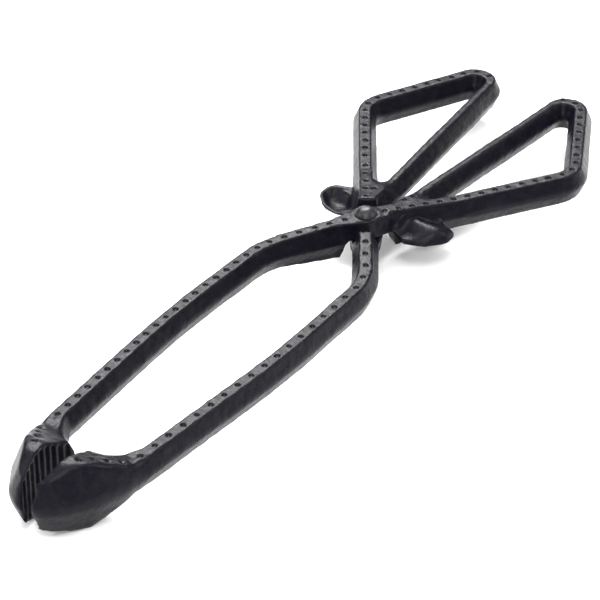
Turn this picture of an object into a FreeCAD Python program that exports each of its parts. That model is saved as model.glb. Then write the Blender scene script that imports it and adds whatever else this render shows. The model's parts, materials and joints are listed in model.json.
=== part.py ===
import FreeCAD, Part

import math
import os

import Sketcher

# Cast scissor tongs: two identical castings, one turned over, half lapped on a rivet.
#
# Frame: origin under the middle of the closed tongs, level with the jaws' lowest faces, +Z up,
# X along the tongs' centre line with the jaws at -X and the finger loops at +X.
# The bodies are drawn round the pivot: plan coordinates start on the rivet's axis and heights
# start at the castings' parting line, and each body's Placement carries them to the frame.
# The upper lever's arm and jaw lie on the +Y side and its finger loop on the -Y side.
# The lower lever is the same casting turned half a turn about X.
# All lengths are in millimetres and all angles in degrees.

Vector = FreeCAD.Vector

DIMENSIONS = {
    # bars, drafted both ways from the parting line
    "bar_depth": 10.5,
    "bar_half_width": 4.5,
    "bar_draft": 24.5,
    "inner_bar_half_width": 3.85,
    # hub bar and the eye round the rivet
    "hub_angle": 33.0,
    "hub_depth": 13.6,
    "hub_half_width": 3.3,
    "hub_draft": 9.5,
    "hub_flat_reach": 10.0,
    "hub_reach": 33.0,
    "hub_belly": 6.1,
    "hub_belly_reach": 12.5,
    "eye_radius": 6.1,
    "eye_depth": 14.2,
    "eye_draft": 8.0,
    # half lap
    "lap_gap": 0.3,
    "lap_half_length": 8.6,
    "lap_mouth_half_length": 10.8,
    # jaw
    "jaw_depth": 24.4,
    "pivot_from_middle": 36.9,
    "jaw_draft": 23.0,
    "jaw_tip": 186.5,
    "jaw_brow_height": 7.0,
    "jaw_brow_radius": 7.0,
    "jaw_crest": 171.5,
    "jaw_crest_lift": 1.1,
    "groove_radius": 1.15,
    "groove_offset": 0.55,
    "groove_rim": 1.1,
    # thumb spur
    "spur_rim_drop": 1.4,
    "spur_height": 5.6,
    "spur_draft": 25.0,
    "bowl_depth": 4.0,
    "bowl_draft": 20.0,
    # dimples
    "dimple_radius": 1.0,
    "dimple_depth": 0.5,
    # rivet and its burr washer
    "bore_radius": 2.45,
    "shank_radius": 2.4,
    "head_radius": 4.1,
    "head_height": 2.4,
    "rivet_crown_radius": 0.5,
    "washer_radius": 4.6,
    "washer_depth": 0.9,
    "washer_gap": 0.3,
    "tail_radius": 3.5,
    "tail_height": 1.1,
}

# Plan of one lever. A corner is (x, y, radius): lines run straight from corner to corner and
# turn on the corner's radius.
ARM_LINE = [(4.0, -2.6, 0.0), (-31.5, 20.4, 30.0), (-82.0, 21.6, 400.0), (-154.0, 16.7, 0.0)]
LOOP_LINE = [(6.2, -4.1, 0.0), (66.4, -43.8, 11.0), (108.5, -22.4, 5.5), (107.6, -13.8, 5.2)]
LOOP_ROOT_X = -4.5
HOLE_ROOT_X = 25.4
HOLE_ROOT_RADIUS = 0.5

# The jaw, the waste cut from the inner side of its heel, and its gripping face.
JAW_OUTLINE = [
    (-145.0, 21.8, 0.0), (-160.5, 20.4, 22.0), (-171.5, 17.0, 14.0), (-182.8, 9.6, 9.0),
    (-186.5, 3.6, 6.5), (-186.5, -8.0, 0.0), (-145.0, -8.0, 0.0),
]
HEEL_OUTLINE = [
    (-155.8, -16.0, 0.0), (-155.8, 4.3, 2.4), (-152.0, 9.6, 8.0), (-146.5, 12.68, 5.0),
    (-140.0, 13.1, 0.0), (-140.0, -16.0, 0.0),
]
GRIP_ARC = [(-188.0, 0.2), (-172.5, 4.6), (-153.0, 1.9)]
GROOVE_COUNT = 9
GROOVE_START_X = -182.2
GROOVE_PITCH = 2.75

# Outlines of the thumb spur, along and across the hub bar.
SPUR_OUTLINE = [
    (7.5, -2.0, 0.0), (8.3, -10.2, 4.0), (14.4, -15.4, 7.0), (23.0, -16.7, 5.5),
    (29.4, -12.0, 4.5), (26.0, -2.0, 0.0),
]
BOWL_OUTLINE = [
    (10.4, -5.0, 1.2), (10.2, -9.2, 3.0), (15.2, -13.6, 5.5), (22.4, -14.9, 4.5),
    (26.9, -11.4, 3.5), (24.4, -5.0, 1.2),
]

# Rows of dimples along the flat of a bar: its line, the first one's distance from the line's
# start, the pitch and the count. The two faces of a casting have different rows.
UPPER_ROWS = [(ARM_LINE, 40.5, 5.61, 22), (LOOP_LINE, 36.0, 5.2, 18)]
LOWER_ROWS = [(ARM_LINE, 40.9, 6.68, 19), (LOOP_LINE, 34.3, 5.25, 18)]

doc = FreeCAD.newDocument("crucible_tongs")
sheet = doc.addObject("Spreadsheet::Sheet", "dimensions")
for row, (alias, value) in enumerate(DIMENSIONS.items(), start=1):
    sheet.set(f"A{row}", alias)
    sheet.set(f"B{row}", str(value))
    sheet.setAlias(f"B{row}", alias)
doc.recompute()


def size(alias):
    """A driving dimension, read from the sheet."""
    return float(sheet.get(alias))


def bind(item, **expressions):
    """Bind an object's properties to expressions of the sheet's cells."""
    for name, expression in expressions.items():
        item.setExpression(name.replace("__", "."), expression)


# Plan geometry -----------------------------------------------------------------------------

def unit(start, end):
    """Unit vector from one plan point to another."""
    length = math.dist(start[:2], end[:2])
    return ((end[0] - start[0]) / length, (end[1] - start[1]) / length)


def sides_at(corners, index, closed):
    """Directions of the sides before and after a corner."""
    last = len(corners) - 1
    if closed:
        before = unit(corners[index - 1], corners[index])
        after = unit(corners[index], corners[(index + 1) % len(corners)])
        return before, after
    before = unit(corners[max(index - 1, 0)], corners[max(index, 1)])
    after = unit(corners[min(index, last - 1)], corners[min(index + 1, last)])
    return before, after


def moved(corners, gaps, closed):
    """A line of corners whose sides have each moved to their left by their own gap."""
    result = []
    for index, (x, y, radius) in enumerate(corners):
        before, after = sides_at(corners, index, closed)
        gap_before = gaps[index - 1] if closed or index else gaps[0]
        gap_after = gaps[min(index, len(gaps) - 1)]
        turn = before[0] * after[1] - before[1] * after[0]
        if abs(turn) < 1e-9:
            result.append((x - before[1] * gap_before, y + before[0] * gap_before, radius))
            continue
        shift_x = (gap_before * after[0] - gap_after * before[0]) / turn
        shift_y = (gap_before * after[1] - gap_after * before[1]) / turn
        inward = math.copysign(0.5 * (gap_before + gap_after), turn * (gap_before + gap_after))
        result.append((x + shift_x, y + shift_y, max(radius - inward, 0.0)))
    return result


def cut_root(corners, x, radius):
    """Replace the first, sharp corner of a closed outline by a short side at x."""
    first, second, last = corners[0], corners[1], corners[-1]

    def at(other):
        share = (x - first[0]) / (other[0] - first[0])
        return (x, first[1] + share * (other[1] - first[1]), radius)

    return [at(last), at(second)] + corners[1:]


def rounded(corners, closed=True):
    """Lines and arcs that follow a list of corners."""
    starts, ends, arcs = [], [], []
    for index, (x, y, radius) in enumerate(corners):
        before, after = sides_at(corners, index, closed)
        half_turn = 0.5 * math.acos(max(-1.0, min(1.0, before[0] * after[0] + before[1] * after[1])))
        reach = radius * math.tan(half_turn)
        start = Vector(x - before[0] * reach, y - before[1] * reach, 0)
        end = Vector(x + after[0] * reach, y + after[1] * reach, 0)
        if reach > 1e-6:
            inward = Vector(after[0] - before[0], after[1] - before[1], 0).normalize()
            middle = Vector(x, y, 0) + inward * (radius / math.cos(half_turn) - radius)
            arcs.append(Part.Arc(start, middle, end))
        else:
            arcs.append(None)
        starts.append(start)
        ends.append(end)
    edges = []
    count = len(corners)
    for index in range(count):
        if arcs[index]:
            edges.append(arcs[index])
        following = (index + 1) % count
        if not closed and following == 0:
            break
        if (starts[following] - ends[index]).Length > 1e-6:
            edges.append(Part.LineSegment(ends[index], starts[following]))
    return edges


def along(corners, first, pitch, count):
    """Points at an even pitch along an open line of corners."""
    wire = Part.Wire([edge.toShape() for edge in rounded(corners, closed=False)])
    spots = wire.discretize(Distance=0.25)
    travelled, chosen = 0.0, []
    for here, there in zip(spots, spots[1:]):
        travelled += (there - here).Length
        if len(chosen) < count and travelled >= first + pitch * len(chosen) - 1e-6:
            chosen.append(there)
    return chosen


def mirrored(corners):
    """Corners with the second coordinate turned over."""
    return [(x, -y, radius) for x, y, radius in reversed(corners)]


# PartDesign helpers ------------------------------------------------------------------------

def new_body(name):
    body = doc.addObject("PartDesign::Body", name)
    body.Label = name
    body.AllowCompound = True
    return body


def sketch(body, name, role, edges=(), circles=(), lift=0.0, turn=0.0):
    """A sketch on an origin plane, lifted off it and turned about the vertical."""
    item = body.newObject("Sketcher::SketchObject", name)
    plane = [feature for feature in body.Origin.OriginFeatures if feature.Role == role][0]
    item.AttachmentSupport = [(plane, "")]
    item.MapMode = "FlatFace"
    axis = Vector(0, 0, 1) if role == "XY_Plane" else Vector(0, 1, 0)
    item.AttachmentOffset = FreeCAD.Placement(Vector(0, 0, lift), FreeCAD.Rotation(axis, turn))
    item.addGeometry(list(edges))
    for centre, radius in circles:
        item.addGeometry(Part.Circle(Vector(centre[0], centre[1], 0), Vector(0, 0, 1), radius))
    return item


def round_sketch(body, name, aliases):
    """A sketch of circles round the rivet's axis, each radius bound to a cell."""
    circles = [((0.0, 0.0), size(alias)) for alias in aliases]
    item = sketch(body, name, "XY_Plane", circles=circles)
    for index, alias in enumerate(aliases):
        item.addConstraint(Sketcher.Constraint("Coincident", index, 3, -1, 1))
        item.addConstraint(Sketcher.Constraint("Radius", index, size(alias)))
        item.renameConstraint(2 * index + 1, alias)
        item.setExpression(f"Constraints.{alias}", f"dimensions.{alias}")
    return item


def swept(body, kind, name, profile, length, draft="0", sides="Symmetric", reverse=False):
    """A drafted pad or pocket of a sketch; draft narrows it away from the sketch."""
    feature = body.newObject(f"PartDesign::{kind}", name)
    feature.Profile = profile
    feature.SideType = sides
    feature.Reversed = reverse
    bind(feature, Length=length, TaperAngle=draft)
    profile.Visibility = False
    doc.recompute()
    return feature


def pocket(body, name, profile, length, draft="0", sides="Symmetric", reverse=False):
    """A pocket that has to take material away."""
    before = body.Shape.Volume
    feature = swept(body, "Pocket", name, profile, length, draft, sides, reverse)
    removed = before - body.Shape.Volume
    if removed < 1e-3:
        raise RuntimeError(f"{name} cut nothing")
    return feature


# One casting -------------------------------------------------------------------------------

def add_arm(body):
    half = size("bar_half_width")
    left = moved(ARM_LINE, [half] * 3, closed=False)
    right = moved(ARM_LINE, [-half] * 3, closed=False)
    profile = sketch(body, "arm_plan", "XY_Plane", rounded(right + left[::-1]))
    swept(body, "Pad", "arm", profile, "dimensions.bar_depth", "-dimensions.bar_draft")


def loop_outline(side):
    """Outline of the finger loop's metal: side -1 is its outside, +1 the hole inside it."""
    bar = side * size("bar_half_width")
    inner = side * size("inner_bar_half_width")
    outline = moved(LOOP_LINE, [bar, bar, bar, inner], closed=True)
    if side < 0:
        return cut_root(outline, LOOP_ROOT_X, 0.0)
    return cut_root(outline, HOLE_ROOT_X, HOLE_ROOT_RADIUS)


def add_loop(body):
    outside = sketch(body, "loop_plan", "XY_Plane", rounded(loop_outline(-1)))
    swept(body, "Pad", "loop", outside, "dimensions.bar_depth", "-dimensions.bar_draft")
    hole = sketch(body, "loop_hole_plan", "XY_Plane", rounded(loop_outline(1)))
    pocket(body, "loop_hole", hole, "dimensions.hub_depth", "dimensions.bar_draft")


def add_hub(body):
    """The hub bar, its web between the loop's two bars, and the eye."""
    reach, half = size("hub_reach"), size("hub_half_width")
    belly, neck = size("hub_belly"), size("hub_belly_reach")
    turn = -size("hub_angle")
    side = [
        (-reach, -half, 0), (-neck, -half, 12.0), (0, -belly, 5.0), (neck, -half, 12.0),
        (reach, -half, 0),
    ]
    web = [(reach, half, 0), (24.0, half, 1.0), (21.6, 9.9, 1.5), (9.8, 3.9, 8.0)]
    plan = side + web + mirrored(side)[2:]
    profile = sketch(body, "hub_plan", "XY_Plane", rounded(plan), turn=turn)
    swept(body, "Pad", "hub", profile, "dimensions.hub_depth", "-dimensions.hub_draft")

    flat, high, low = size("hub_flat_reach"), size("hub_depth") / 2, size("bar_depth") / 2
    ramp = [
        (flat, high, 0), (reach, low, 0), (reach + 1, low, 0), (reach + 1, high + 1, 0),
        (flat, high + 1, 0),
    ]
    ramps = rounded(ramp) + rounded(mirrored(ramp))
    other_ramp = [(-x, y, radius) for x, y, radius in reversed(ramp)]
    ramps += rounded(other_ramp) + rounded(mirrored(other_ramp))
    side_view = sketch(body, "hub_side", "XZ_Plane", ramps, turn=turn)
    pocket(body, "hub_slopes", side_view, "8 * dimensions.hub_half_width")

    eye = round_sketch(body, "eye_plan", ["eye_radius"])
    swept(body, "Pad", "eye", eye, "dimensions.eye_depth", "-dimensions.eye_draft")


def jaw_height(x):
    """Height of the jaw's top over the parting line."""
    crest, lift = size("jaw_crest"), size("jaw_crest_lift")
    high, low = size("jaw_depth") / 2, size("bar_depth") / 2
    peak = high + lift
    if x < -crest:
        slope = (peak - size("jaw_brow_height")) / (size("jaw_tip") - crest)
    else:
        slope = (peak - low) / (crest - 155.0)
    return min(high, peak - slope * abs(x + crest))


def add_jaw(body):
    plan = sketch(body, "jaw_plan", "XY_Plane", rounded(JAW_OUTLINE))
    swept(body, "Pad", "jaw", plan, "dimensions.jaw_depth", "-dimensions.jaw_draft")

    heel_plan = sketch(body, "heel_plan", "XY_Plane", rounded(HEEL_OUTLINE))
    pocket(body, "heel", heel_plan, "2 * dimensions.jaw_depth", "dimensions.bar_draft")

    low, high, tip = size("bar_depth") / 2, size("jaw_depth") / 2, size("jaw_tip")
    brow, crest, lift = size("jaw_brow_height"), size("jaw_crest"), size("jaw_crest_lift")
    waste = [
        (-145.0, high + 2, 0), (-tip - 3, high + 2, 0), (-tip - 3, 0.5, 0), (-tip, 0.5, 0),
        (-tip, brow, size("jaw_brow_radius")), (-crest, high + lift, 10.0), (-155.0, low, 12.0),
        (-145.0, low, 0),
    ]
    side_view = sketch(body, "jaw_side", "XZ_Plane", rounded(waste) + rounded(mirrored(waste)))
    pocket(body, "jaw_profile", side_view, "4 * dimensions.jaw_depth")

    tip_point, middle, heel = [Vector(x, y, 0) for x, y in GRIP_ARC]
    grip = Part.Arc(tip_point, middle, heel)
    below = [Vector(heel.x, -20, 0), Vector(tip_point.x, -20, 0)]
    cut = [grip, Part.LineSegment(heel, below[0]), Part.LineSegment(below[0], below[1])]
    cut.append(Part.LineSegment(below[1], tip_point))
    face = sketch(body, "grip_plan", "XY_Plane", cut)
    pocket(body, "grip_face", face, "2 * dimensions.jaw_depth")

    centre = grip.toShape().Curve.Center
    radius = grip.toShape().Curve.Radius
    for index in range(GROOVE_COUNT):
        x = GROOVE_START_X + index * GROOVE_PITCH
        y = centre.y + math.sqrt(radius ** 2 - (x - centre.x) ** 2) - size("groove_offset")
        groove = sketch(body, f"groove_{index + 1}_plan", "XY_Plane",
                        circles=[((x, y), size("groove_radius"))])
        height = 2 * (jaw_height(x) - size("groove_rim"))
        pocket(body, f"groove_{index + 1}", groove, str(round(height, 3)))


def add_spur(body):
    turn, rim = -size("hub_angle"), -size("spur_rim_drop")
    plan = sketch(body, "spur_plan", "XY_Plane", rounded(SPUR_OUTLINE), lift=rim, turn=turn)
    bind(plan, AttachmentOffset__Base__z="-dimensions.spur_rim_drop")
    swept(body, "Pad", "spur", plan, "dimensions.spur_height", "-dimensions.spur_draft", "One side")
    bowl = sketch(body, "bowl_plan", "XY_Plane", rounded(BOWL_OUTLINE), lift=rim, turn=turn)
    bind(bowl, AttachmentOffset__Base__z="-dimensions.spur_rim_drop")
    pocket(body, "bowl", bowl, "dimensions.bowl_depth", "-dimensions.bowl_draft", "One side", True)


def cut_lap(body):
    """Remove the lower half of the hub, where the other lever passes, and bore it."""
    shoulder, mouth = size("lap_half_length"), size("lap_mouth_half_length")
    ceiling, floor = size("lap_gap") / 2, -size("eye_depth") / 2 - 1
    section = [(-shoulder, ceiling, 0), (-mouth, floor, 0), (mouth, floor, 0), (shoulder, ceiling, 0)]
    side_view = sketch(body, "lap_side", "XZ_Plane", rounded(section), turn=-size("hub_angle"))
    pocket(body, "lap", side_view, "4 * dimensions.lap_mouth_half_length")
    bore = round_sketch(body, "bore_plan", ["bore_radius"])
    pocket(body, "bore", bore, "2 * dimensions.eye_depth")


def cut_dimples(body, face, rows):
    """Rows of dimples on the upper face (face 1) or the lower face (face -1)."""
    spots = [spot for row in rows for spot in along(*row)]
    circles = [((spot.x, spot.y), size("dimple_radius")) for spot in spots]
    name = "upper_dimples" if face > 0 else "lower_dimples"
    lift = face * size("bar_depth") / 2
    plan = sketch(body, f"{name}_plan", "XY_Plane", circles=circles, lift=lift)
    bind(plan, AttachmentOffset__Base__z=f"{face} * dimensions.bar_depth / 2")
    pocket(body, name, plan, "dimensions.dimple_depth", sides="One side", reverse=face < 0)


def make_lever(name):
    body = new_body(name)
    add_arm(body)
    add_jaw(body)
    add_loop(body)
    add_hub(body)
    add_spur(body)
    cut_lap(body)
    cut_dimples(body, 1, UPPER_ROWS)
    cut_dimples(body, -1, LOWER_ROWS)
    return body


# Rivet and washer --------------------------------------------------------------------------

def crowned(crown, rim, seat, rise):
    """Side view of a round head: an arc, level at the flat crown's edge, down to the rim."""
    radius = ((rim - crown) ** 2 + rise ** 2) / (2 * abs(rise))
    side = math.copysign(1, rise)
    half_way = (crown + rim) / 2
    drop = radius - math.sqrt(radius ** 2 - (half_way - crown) ** 2)
    ends = Vector(crown, seat + rise, 0), Vector(rim, seat, 0)
    return Part.Arc(ends[0], Vector(half_way, seat + rise - side * drop, 0), ends[1])


def make_rivet():
    """Round-headed rivet: dome on the upper eye, shank, and the tail peened on the washer."""
    body = new_body("pivot_rivet")
    face = size("eye_depth") / 2
    shank, head, tail = size("shank_radius"), size("head_radius"), size("tail_radius")
    crown, dome, peen = size("rivet_crown_radius"), size("head_height"), size("tail_height")
    seat = -face - size("washer_gap") - size("washer_depth")
    top, bottom = face + dome, seat - peen
    corners = [Vector(x, y, 0) for x, y in (
        (0, bottom), (0, top), (crown, top), (head, face), (shank, face),
        (shank, seat), (tail, seat), (crown, bottom), (0, bottom))]
    edges = [Part.LineSegment(here, there) for here, there in zip(corners, corners[1:])]
    edges[2] = crowned(crown, head, face, dome)
    edges[6] = crowned(crown, tail, seat, -peen)
    profile = sketch(body, "rivet_section", "XZ_Plane", edges)
    turned = body.newObject("PartDesign::Revolution", "turned")
    turned.Profile = profile
    turned.ReferenceAxis = (profile, ["V_Axis"])
    turned.Angle = 360
    profile.Visibility = False
    doc.recompute()
    return body


def make_washer():
    """Burr washer under the lower eye, held by the rivet's tail."""
    body = new_body("rivet_washer")
    plan = round_sketch(body, "washer_plan", ["washer_radius", "bore_radius"])
    drop = "-dimensions.eye_depth / 2 - dimensions.washer_gap - dimensions.washer_depth"
    bind(plan, AttachmentOffset__Base__z=drop)
    swept(body, "Pad", "washer", plan, "dimensions.washer_depth", sides="One side")
    return body


def place(body, turned_over=0):
    """Carry a body drawn round the pivot to the frame, turned over about X if asked."""
    turn = FreeCAD.Rotation(Vector(1, 0, 0), 180 * turned_over)
    body.Placement = FreeCAD.Placement(Vector(0, 0, 0), turn)
    bind(body, Placement__Base__x="dimensions.pivot_from_middle")
    bind(body, Placement__Base__z="dimensions.jaw_depth / 2")


upper_lever = make_lever("upper_lever")
lower_lever = make_lever("lower_lever")
pivot_rivet = make_rivet()
rivet_washer = make_washer()
for part in (upper_lever, pivot_rivet, rivet_washer):
    place(part)
place(lower_lever, turned_over=1)
doc.recompute()

for item in doc.Objects:
    if "Invalid" in item.State or "Error" in item.State:
        raise RuntimeError(f"{item.Name} is {item.State}")

os.makedirs("parts", exist_ok=True)
for body in (upper_lever, lower_lever, pivot_rivet, rivet_washer):
    shape = body.Shape
    if shape.isNull() or not shape.isValid() or len(shape.Solids) != 1:
        raise RuntimeError(f"{body.Label} isn't one valid solid")
    shape.exportStep(os.path.join("parts", f"{body.Label}.step"))
    print(body.Label, round(shape.Volume / 1000, 2), "cm3", shape.BoundBox)
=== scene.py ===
"""Looks of the crucible tongs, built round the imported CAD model.

Each lever is a sand casting: its corners are worn round, its skin is faintly grained and wavy,
and its dimples are pressed by hand. The shape code works in millimetres round the pivot, in the
casting's own frame, where the arm runs to -X and the loop to +X. The lower lever is the same
casting turned half a turn about X.
"""
import json
import math
import random

import bmesh
import bpy
import numpy as np
from mathutils import Matrix, Vector, noise


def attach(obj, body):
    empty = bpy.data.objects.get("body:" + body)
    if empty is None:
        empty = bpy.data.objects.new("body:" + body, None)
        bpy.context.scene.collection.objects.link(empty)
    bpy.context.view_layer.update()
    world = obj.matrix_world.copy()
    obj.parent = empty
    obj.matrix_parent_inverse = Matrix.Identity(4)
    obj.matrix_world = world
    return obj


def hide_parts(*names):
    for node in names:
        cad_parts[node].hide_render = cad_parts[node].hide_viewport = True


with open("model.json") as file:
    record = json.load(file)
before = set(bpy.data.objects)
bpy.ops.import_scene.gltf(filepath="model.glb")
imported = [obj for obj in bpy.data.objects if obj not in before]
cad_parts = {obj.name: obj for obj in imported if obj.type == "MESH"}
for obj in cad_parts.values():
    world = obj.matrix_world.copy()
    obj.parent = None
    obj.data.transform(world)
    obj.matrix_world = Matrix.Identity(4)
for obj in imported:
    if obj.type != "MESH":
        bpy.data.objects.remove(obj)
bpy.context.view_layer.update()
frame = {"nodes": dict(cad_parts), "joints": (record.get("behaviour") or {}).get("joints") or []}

MM = 0.001
PIVOT = Vector([value / MM for value in frame["joints"][0]["pos_m"]])

# Plan of one casting, as corners (x, y, radius).
ARM_LINE = [(4.0, -2.6, 0.0), (-31.5, 20.4, 30.0), (-82.0, 21.6, 400.0), (-154.0, 16.7, 0.0)]
LOOP_LINE = [(6.2, -4.1, 0.0), (66.4, -43.8, 11.0), (108.5, -22.4, 5.5), (107.6, -13.8, 5.2)]
HUB_ANGLE = 33.0

# Section of a bar: height of its faces, half its width at the parting plane, and how much that
# shrinks per millimetre of height.
BAR_TOP = 5.25
BAR_HALF_WIDTH = 4.5
BAR_SLOPE = 0.456

# Rows of dimples: line, distance of the first from the line's start, pitch, count.
UPPER_ROWS = [(ARM_LINE, 12.45, 5.61, 27), (LOOP_LINE, 4.8, 5.2, 24)]
LOWER_ROWS = [(ARM_LINE, 20.86, 6.68, 22), (LOOP_LINE, 4.9, 5.6, 5), (LOOP_LINE, 34.3, 5.25, 18)]
UPPER_EXTRAS = [(5.9, -3.8), (16.5, -5.3), (20.1, -6.4)]
LOWER_EXTRAS = [(16.7, -7.6)]
JAW_DENTS = [(-169.5, 8.4), (-165.3, 10.6), (-161.6, 13.2), (-157.8, 15.4)]

# Radius and depth of the pits, and how far below a bar's face the face's own skin reaches.
DIMPLE = (1.12, 0.56)
END_DENT = (1.5, 0.8)
JAW_DENT = (1.8, 0.6)
SKIN_DEPTH = 1.6
FINE_MESH_REACH = 1.4
FINE_MESH_CUTS = 2

# Size of the remeshed faces, and rounds of smoothing in each region.
CAST_VOXEL = 0.52
RIVET_VOXEL = 0.2
CORNER_SMOOTHING = 2
JAW_SMOOTHING = 55
SPUR_SMOOTHING = 49
RIDGE_SMOOTHING = 13
WEB_SMOOTHING = 24
WEB_END = (23.2, -5.6)

# Feature size and height of the uneven skin.
WAVES = (9.0, 0.11)
RIPPLE = (2.6, 0.07)
HAMMERING = (2.9, 0.34)


# Shape -------------------------------------------------------------------------------------

def unit(start, end):
    """Direction from one corner to the next."""
    length = math.dist(start[:2], end[:2])
    return ((end[0] - start[0]) / length, (end[1] - start[1]) / length)


def line_points(corners, step=0.25):
    """Points along an open line of corners that turns on each corner's radius."""
    points = []
    for index, (x, y, radius) in enumerate(corners):
        if index in (0, len(corners) - 1) or radius == 0:
            points.append(Vector((x, y)))
            continue
        before = unit(corners[index - 1], corners[index])
        after = unit(corners[index], corners[index + 1])
        side = math.copysign(1, before[0] * after[1] - before[1] * after[0])
        turn = math.acos(max(-1.0, min(1.0, before[0] * after[0] + before[1] * after[1])))
        reach = radius * math.tan(turn / 2)
        start = Vector((x - before[0] * reach, y - before[1] * reach))
        centre = start + Vector((-before[1], before[0])) * (side * radius)
        count = max(3, int(turn * radius / step))
        for part in range(count + 1):
            points.append(centre + Matrix.Rotation(side * turn * part / count, 2) @ (start - centre))
    return points


def along(corners, first, pitch, count):
    """Points at an even pitch along a line of corners."""
    points = line_points(corners)
    lengths = [0.0]
    for here, there in zip(points, points[1:]):
        lengths.append(lengths[-1] + (there - here).length)
    wanted = [first + pitch * index for index in range(count)]
    xs = np.interp(wanted, lengths, [point.x for point in points])
    ys = np.interp(wanted, lengths, [point.y for point in points])
    return list(zip(xs, ys))


def smooth_step(low, high, values):
    """0 below the low value, 1 above the high one, and an S-curve between them."""
    share = np.clip((values - low) / (high - low), 0.0, 1.0)
    return share * share * (3.0 - 2.0 * share)


def softened(node, name, voxel):
    """A copy of a CAD node in millimetres round the pivot, its corners worn round."""
    mesh = frame["nodes"][node].data.copy()
    mesh.transform(Matrix.Translation(-PIVOT) @ Matrix.Scale(1 / MM, 4))
    mesh.materials.clear()
    for layer in list(mesh.uv_layers):
        mesh.uv_layers.remove(layer)
    piece = bpy.data.objects.new(name, mesh)
    bpy.context.scene.collection.objects.link(piece)
    work = bmesh.new()
    work.from_mesh(mesh)
    bmesh.ops.remove_doubles(work, verts=work.verts, dist=1e-4)
    work.to_mesh(mesh)
    work.free()
    remesh = piece.modifiers.new("remesh", "REMESH")
    remesh.mode = "VOXEL"
    remesh.voxel_size = voxel
    remesh.use_smooth_shade = True
    smooth = piece.modifiers.new("smooth", "SMOOTH")
    smooth.factor = 0.5
    smooth.iterations = CORNER_SMOOTHING
    evaluated = piece.evaluated_get(bpy.context.evaluated_depsgraph_get())
    piece.data = bpy.data.meshes.new_from_object(evaluated)
    piece.modifiers.clear()
    piece.data.name = name
    return piece


def coordinates(mesh):
    """Every vertex's position, one row each."""
    values = np.empty(len(mesh.vertices) * 3)
    mesh.vertices.foreach_get("co", values)
    return values.reshape(-1, 3)


def normals(mesh):
    """Every vertex's outward direction, one row each."""
    values = np.empty(len(mesh.vertices) * 3)
    mesh.vertex_normals.foreach_get("vector", values)
    return values.reshape(-1, 3)


def set_coordinates(mesh, points):
    """Move the mesh's vertices to new positions."""
    mesh.vertices.foreach_set("co", points.reshape(-1))
    mesh.update()


def relax(mesh, weights, rounds):
    """Smooth the mesh by each vertex's weight."""
    points = coordinates(mesh)
    pairs = np.empty(len(mesh.edges) * 2, int)
    mesh.edges.foreach_get("vertices", pairs)
    first, second = pairs.reshape(-1, 2).T
    degree = np.bincount(pairs, minlength=len(points))[:, None]
    for _ in range(rounds):
        total = np.zeros_like(points)
        for axis in range(3):
            total[:, axis] = np.bincount(first, points[second, axis], len(points))
            total[:, axis] += np.bincount(second, points[first, axis], len(points))
        points += 0.5 * weights[:, None] * (total / degree - points)
    set_coordinates(mesh, points)


def refine(mesh, centres, face):
    """Subdivide the mesh round the centres on the upper (1) or lower (-1) face."""
    points = coordinates(mesh)
    near = np.zeros(len(points), bool)
    high = points[:, 2] * face > BAR_TOP - SKIN_DEPTH
    for x, y in centres:
        near |= high & (np.hypot(points[:, 0] - x, points[:, 1] - y) < FINE_MESH_REACH)
    work = bmesh.new()
    work.from_mesh(mesh)
    edges = [edge for edge in work.edges if all(near[vert.index] for vert in edge.verts)]
    bmesh.ops.subdivide_edges(work, edges=edges, cuts=FINE_MESH_CUTS, use_grid_fill=True)
    work.to_mesh(mesh)
    work.free()


def fill_pits(mesh, centres, face):
    """Close the solid's flat-bottomed pits in the flat of the bars."""
    points = coordinates(mesh)
    deepest, filled = BAR_TOP - 1.0, BAR_TOP - 0.02
    for x, y in centres:
        gap = np.hypot(points[:, 0] - x, points[:, 1] - y)
        height = points[:, 2] * face
        share = (1.0 - smooth_step(1.25, 1.6, gap)) * (height > deepest)
        level = np.maximum(height, filled)
        points[:, 2] = face * (height + share * (level - height))
    set_coordinates(mesh, points)


def press_pits(mesh, centres, face, draw, size):
    """Press uneven round pits with a faint rim into one face."""
    radius, depth = size
    wander, rim_height = 0.14, 0.04
    points = coordinates(mesh)
    for x, y in centres:
        x, y = x + draw.uniform(-wander, wander), y + draw.uniform(-wander, wander)
        width = radius * draw.uniform(0.88, 1.08)
        deep = depth * draw.uniform(0.8, 1.12)
        lean, stretch = draw.uniform(0, math.pi), draw.uniform(1.0, 1.16)
        dx, dy = points[:, 0] - x, points[:, 1] - y
        across = dx * math.cos(lean) + dy * math.sin(lean)
        beside = dy * math.cos(lean) - dx * math.sin(lean)
        share = np.hypot(across, beside * stretch) / width
        pit = 1.0 - smooth_step(0.2, 1.0, share)
        rim = np.exp(-((share - 1.2) / 0.2) ** 2)
        on_face = (points[:, 2] * face > BAR_TOP - SKIN_DEPTH) & (share < 2.0)
        points[:, 2] -= face * on_face * (deep * pit - rim_height * rim)
    set_coordinates(mesh, points)


def noise_field(points, size, seed):
    """Smooth noise of about -1 to 1 with features of the given size."""
    offset = Vector((seed * 17.3, seed * 5.1, seed * 9.7))
    return np.array([noise.noise(Vector(point) / size + offset) for point in points])


def weather(mesh, seed):
    """The uneven skin of a sand casting, hammered-looking where the arm meets the jaw."""
    points, outward = coordinates(mesh), normals(mesh)
    x = points[:, 0]
    bend = smooth_step(-176.0, -166.0, x) * (1.0 - smooth_step(-154.0, -142.0, x))
    flats = smooth_step(0.55, 0.85, np.abs(outward[:, 2]))
    push = WAVES[1] * noise_field(points, WAVES[0], seed)
    push = push + RIPPLE[1] * noise_field(points, RIPPLE[0], seed + 1)
    push = push + HAMMERING[1] * (bend * flats * noise_field(points, HAMMERING[0], seed + 2))
    set_coordinates(mesh, points + outward * push[:, None])


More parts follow.
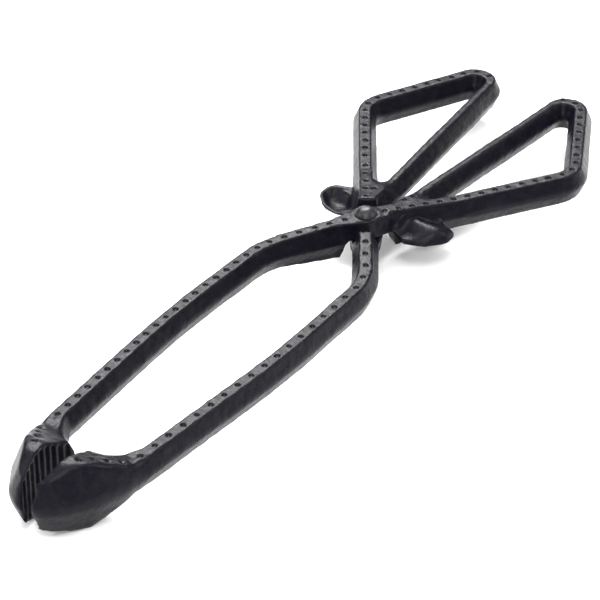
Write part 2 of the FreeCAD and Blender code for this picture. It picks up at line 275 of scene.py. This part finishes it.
def hub_axes(points):
    """Distances along and across the hub bar."""
    turn = math.radians(-HUB_ANGLE)
    along_bar = points[:, 0] * math.cos(turn) + points[:, 1] * math.sin(turn)
    across = points[:, 1] * math.cos(turn) - points[:, 0] * math.sin(turn)
    return along_bar, across


def round_jaw(mesh):
    """Wear down the jaw's parting ridge and its nose, clear of the ribs."""
    points = coordinates(mesh)
    x, y, height = points.T
    jaw = 1.0 - smooth_step(-156.0, -148.0, x)
    ridge = 1.0 - smooth_step(3.5, 6.5, np.abs(height))
    nose = 1.0 - smooth_step(-185.0, -181.0, x)
    ribs = 1.0 - smooth_step(5.6, 7.4, y)
    ribs *= smooth_step(-184.4, -183.2, x) * (1.0 - smooth_step(-157.0, -156.0, x))
    least = 0.3
    weights = jaw * np.clip(np.maximum(ridge, nose) + least, 0.0, 1.0) * (1.0 - ribs)
    relax(mesh, weights, JAW_SMOOTHING)


def round_ridge(mesh):
    """Wear down the parting ridge along the bars, clear of the jaw and the hub."""
    points = coordinates(mesh)
    weights = (1.0 - smooth_step(1.4, 3.4, np.abs(points[:, 2]))) * (points[:, 0] > -150.0)
    weights = weights * smooth_step(34.0, 38.0, np.hypot(points[:, 0], points[:, 1]))
    relax(mesh, weights, RIDGE_SMOOTHING)


def round_spur(mesh):
    """Shape the spur's back as a ridged neck and a bulb, its bowl following a wall below."""
    points = coordinates(mesh)
    along_bar, across = hub_axes(points)
    height = points[:, 2]
    # Half-width, height and place of the crest, by distance out from the bar's middle.
    reach = np.interp(-across, [3.0, 5.5, 9.0, 13.0, 16.0], [2.6, 3.1, 5.0, 6.4, 6.6])
    rise = np.interp(-across, [3.0, 6.0, 9.0, 13.0, 15.0, 16.8], [4.9, 4.4, 4.3, 3.4, 2.2, 0.6])
    crest = np.interp(-across, [3.0, 9.0, 14.0], [15.8, 19.0, 21.2])
    base, wall, bowl_floor = -0.2, 1.3, -1.1
    dome = base + rise * np.exp(-((along_bar - crest) / reach) ** 2)
    # The spur only: clear of the bar's sloping side and of the eye, within its own length.
    clear = across + BAR_HALF_WIDTH - np.abs(height) * BAR_SLOPE
    off_eye = smooth_step(8.2, 9.6, np.hypot(points[:, 0], points[:, 1]))
    share = off_eye * (1.0 - smooth_step(-1.1, -0.1, clear)) * (along_bar > 5.0) * (along_bar < 33.0)
    inside = (normals(mesh)[:, 2] < -0.2) & (height > bowl_floor)
    ceiling = np.where(inside, np.maximum(dome - wall, bowl_floor), dome)
    points[:, 2] += share * (height > -3.0) * (np.minimum(height, ceiling) - height)
    set_coordinates(mesh, points)
    weights = share * (height > -4.0) * smooth_step(-1.25, -0.4, height)
    relax(mesh, weights, SPUR_SMOOTHING)


def round_inner_bar(mesh):
    """Crown both faces of the loop's inner bar."""
    crown = 0.1
    points = coordinates(mesh)
    start, end = Vector(LOOP_LINE[-1][:2]), Vector(LOOP_LINE[0][:2])
    run = (end - start).normalized()
    away = (points[:, 0] - start.x) * run.y - (points[:, 1] - start.y) * run.x
    bar = (np.abs(away) < 3.4) & (points[:, 0] > 26.0) & (points[:, 0] < 103.0)
    share = bar * smooth_step(3.4, 5.2, np.abs(points[:, 2]))
    share = share * smooth_step(24.0, 34.0, points[:, 0])
    points[:, 2] -= np.sign(points[:, 2]) * share * crown * away ** 2
    set_coordinates(mesh, points)


def blend_web(mesh):
    """Run the hub's web smoothly into the loop's inner bar."""
    points = coordinates(mesh)
    gap = np.hypot(points[:, 0] - WEB_END[0], points[:, 1] - WEB_END[1])
    relax(mesh, 1.0 - smooth_step(3.0, 5.5, gap), WEB_SMOOTHING)


def sculpt_casting(mesh, seed):
    """All the casting's own detail, in the casting's own frame."""
    draw = random.Random(seed)
    round_jaw(mesh)
    round_ridge(mesh)
    round_spur(mesh)
    round_inner_bar(mesh)
    blend_web(mesh)
    for face, rows, extras in ((1, UPPER_ROWS, UPPER_EXTRAS), (-1, LOWER_ROWS, LOWER_EXTRAS)):
        centres = [spot for row in rows for spot in along(*row)]
        fill_pits(mesh, centres, face)
        refine(mesh, centres + extras + JAW_DENTS, face)
        press_pits(mesh, centres + extras, face, draw, DIMPLE)
        press_pits(mesh, JAW_DENTS[:1], face, draw, END_DENT)
        press_pits(mesh, JAW_DENTS[1:], face, draw, JAW_DENT)
    weather(mesh, seed)


def turn_over(mesh):
    """Turn a mesh half a turn about X."""
    mesh.transform(Matrix.Rotation(math.pi, 4, "X"))


def to_frame(piece, material):
    """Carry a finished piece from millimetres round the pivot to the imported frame."""
    piece.data.transform(Matrix.Scale(MM, 4) @ Matrix.Translation(PIVOT))
    piece.data.materials.clear()
    piece.data.materials.append(material)
    for polygon in piece.data.polygons:
        polygon.use_smooth = True
    piece.data.update()


# Materials ---------------------------------------------------------------------------------

def new_material(name):
    """A new node material, with its tree and its shader."""
    material = bpy.data.materials.new(name)
    material.use_nodes = True
    return material, material.node_tree, material.node_tree.nodes["Principled BSDF"]


def noise_node(tree, scale, detail, rough=0.5, distortion=0.0):
    """The level of a noise texture laid out in the object's own coordinates."""
    place = tree.nodes.new("ShaderNodeTexCoord")
    texture = tree.nodes.new("ShaderNodeTexNoise")
    texture.inputs["Scale"].default_value = scale
    texture.inputs["Detail"].default_value = detail
    texture.inputs["Roughness"].default_value = rough
    texture.inputs["Distortion"].default_value = distortion
    tree.links.new(place.outputs["Object"], texture.inputs["Vector"])
    return texture.outputs["Fac"]


def ramp_node(tree, factor, low, high, first, second):
    """Map a factor from first to second between two levels."""
    ramp = tree.nodes.new("ShaderNodeMapRange")
    ramp.inputs["From Min"].default_value = low
    ramp.inputs["From Max"].default_value = high
    ramp.inputs["To Min"].default_value = first
    ramp.inputs["To Max"].default_value = second
    tree.links.new(factor, ramp.inputs["Value"])
    return ramp.outputs["Result"]


def colour_ramp(tree, factor, stops):
    """Colour a factor by stops of (level, colour)."""
    ramp = tree.nodes.new("ShaderNodeValToRGB")
    while len(ramp.color_ramp.elements) < len(stops):
        ramp.color_ramp.elements.new(0.5)
    for element, (position, colour) in zip(ramp.color_ramp.elements, stops):
        element.position = position
        element.color = (*colour, 1.0)
    tree.links.new(factor, ramp.inputs["Fac"])
    return ramp.outputs["Color"]


def bump_node(tree, height, strength, distance, normal=None):
    """A bump from a height, on top of another normal if one is given."""
    bump = tree.nodes.new("ShaderNodeBump")
    bump.inputs["Strength"].default_value = strength
    bump.inputs["Distance"].default_value = distance
    tree.links.new(height, bump.inputs["Height"])
    if normal is not None:
        tree.links.new(normal, bump.inputs["Normal"])
    return bump.outputs["Normal"]


def black_iron(name, shades, gloss, roughness):
    """Black painted iron: satin skin, sand grain, slightly uneven gloss."""
    material, tree, shader = new_material(name)
    mottle = noise_node(tree, scale=260.0, detail=6.0, rough=0.65)
    grain = noise_node(tree, scale=1300.0, detail=5.0, rough=0.65)
    skin = noise_node(tree, scale=520.0, detail=4.0, rough=0.6, distortion=0.3)
    colour = colour_ramp(tree, mottle, list(zip((0.30, 0.55, 0.75), shades)))
    tree.links.new(colour, shader.inputs["Base Color"])
    tree.links.new(ramp_node(tree, grain, 0.3, 0.7, *roughness), shader.inputs["Roughness"])
    coarse = bump_node(tree, skin, strength=0.5, distance=0.0003)
    fine = bump_node(tree, grain, strength=0.55, distance=0.00014, normal=coarse)
    tree.links.new(fine, shader.inputs["Normal"])
    shader.inputs["Specular IOR Level"].default_value = gloss
    return material


def floor_material():
    """Matt white board with a faint tooth."""
    material, tree, shader = new_material("pale_floor")
    tooth = noise_node(tree, scale=900.0, detail=3.0)
    colour = colour_ramp(tree, tooth, [(0.2, (0.93, 0.93, 0.93)), (0.8, (0.97, 0.97, 0.97))])
    tree.links.new(colour, shader.inputs["Base Color"])
    shader.inputs["Roughness"].default_value = 0.9
    shader.inputs["Specular IOR Level"].default_value = 0.1
    return material


# Pieces ------------------------------------------------------------------------------------

CAST_SHADES = [(0.0024, 0.0023, 0.005), (0.0048, 0.0045, 0.0078), (0.009, 0.0085, 0.0105)]
RIVET_SHADES = [(0.004, 0.004, 0.005), (0.007, 0.007, 0.008), (0.012, 0.012, 0.013)]
cast = black_iron("black_cast_iron", CAST_SHADES, gloss=0.1, roughness=(0.24, 0.42))
forged = black_iron("black_rivet_steel", RIVET_SHADES, gloss=0.32, roughness=(0.32, 0.42))

for node, body, seed in (("upper_lever", "upper", 3), ("lower_lever", "lower", 8)):
    lever = softened(node, f"{body}_lever_casting", CAST_VOXEL)
    if body == "lower":
        turn_over(lever.data)
    sculpt_casting(lever.data, seed)
    if body == "lower":
        turn_over(lever.data)
    to_frame(lever, cast)
    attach(lever, body)
    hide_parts(node)

rivet = softened("pivot_rivet", "pivot_rivet_forged", RIVET_VOXEL)
to_frame(rivet, forged)
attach(rivet, "upper")
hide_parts("pivot_rivet")
frame["nodes"]["rivet_washer"].data.materials.clear()
frame["nodes"]["rivet_washer"].data.materials.append(forged)

# Stage, in metres --------------------------------------------------------------------------

FLOOR_HALF = 3.0
WORLD_STRENGTH = 0.28
LIGHT_TARGET = Vector((0.0, 0.0, 0.0))
FILL_SPOTS = (("front", -1.375, -0.927), ("left", -0.927, 1.375), ("right", 0.927, -1.375))
FILL_HEIGHT = 1.118
STRIP = (0.9, 0.5)

CAMERA_AZIMUTH = 55.82
CAMERA_ELEVATION = 33.9
CAMERA_LOCATION = (-0.677068, -0.457821, 0.553762)
CAMERA_LENS = 177.0
CAMERA_SENSOR = 36.0
CAMERA_REACH = 20.0


def add_floor():
    """A square of pale board under the tongs."""
    mesh = bpy.data.meshes.new("floor")
    corners = [(x * FLOOR_HALF, y * FLOOR_HALF, 0) for x, y in ((-1, -1), (1, -1), (1, 1), (-1, 1))]
    mesh.from_pydata(corners, [], [(0, 1, 2, 3)])
    mesh.materials.append(floor_material())
    board = bpy.data.objects.new("floor", mesh)
    bpy.context.scene.collection.objects.link(board)


def add_world():
    """Even white light from all round."""
    world = bpy.data.worlds.new("studio")
    bpy.context.scene.world = world
    world.use_nodes = True
    background = world.node_tree.nodes["Background"]
    background.inputs["Color"].default_value = (1.0, 1.0, 1.0, 1.0)
    background.inputs["Strength"].default_value = WORLD_STRENGTH


def add_softbox(name, location, size, power):
    """A rectangular light aimed at the tongs."""
    light = bpy.data.lights.new(name, "AREA")
    light.shape = "RECTANGLE"
    light.size, light.size_y = size
    light.energy = power
    lamp = bpy.data.objects.new(name, light)
    lamp.location = location
    lamp.rotation_euler = (LIGHT_TARGET - Vector(location)).to_track_quat("-Z", "Y").to_euler()
    bpy.context.scene.collection.objects.link(lamp)


def add_camera():
    """A long lens looking down on the tongs from beside the jaws."""
    azimuth, elevation = math.radians(CAMERA_AZIMUTH), math.radians(CAMERA_ELEVATION)
    rotation = Matrix.Rotation(-azimuth, 3, "Z") @ Matrix.Rotation(math.pi / 2 - elevation, 3, "X")
    data = bpy.data.cameras.new("camera")
    data.sensor_width = CAMERA_SENSOR
    data.lens = CAMERA_LENS
    data.clip_end = CAMERA_REACH
    camera = bpy.data.objects.new("camera", data)
    camera.rotation_euler = rotation.to_euler()
    camera.location = CAMERA_LOCATION
    bpy.context.scene.collection.objects.link(camera)
    bpy.context.scene.camera = camera


add_floor()
add_world()
add_softbox("overhead", (0.0, 0.0, 2.2), size=(3.4, 3.4), power=56.0)
add_softbox("behind", (1.15, 0.93, 1.40), size=STRIP, power=60.0)
add_softbox("key", (-0.55, -0.4, 1.5), size=(0.7, 0.7), power=12.0)
for name, x, y in FILL_SPOTS:
    add_softbox(name, (x, y, FILL_HEIGHT), size=STRIP, power=16.0)
add_camera()
bpy.context.scene.view_settings.view_transform = "Standard"
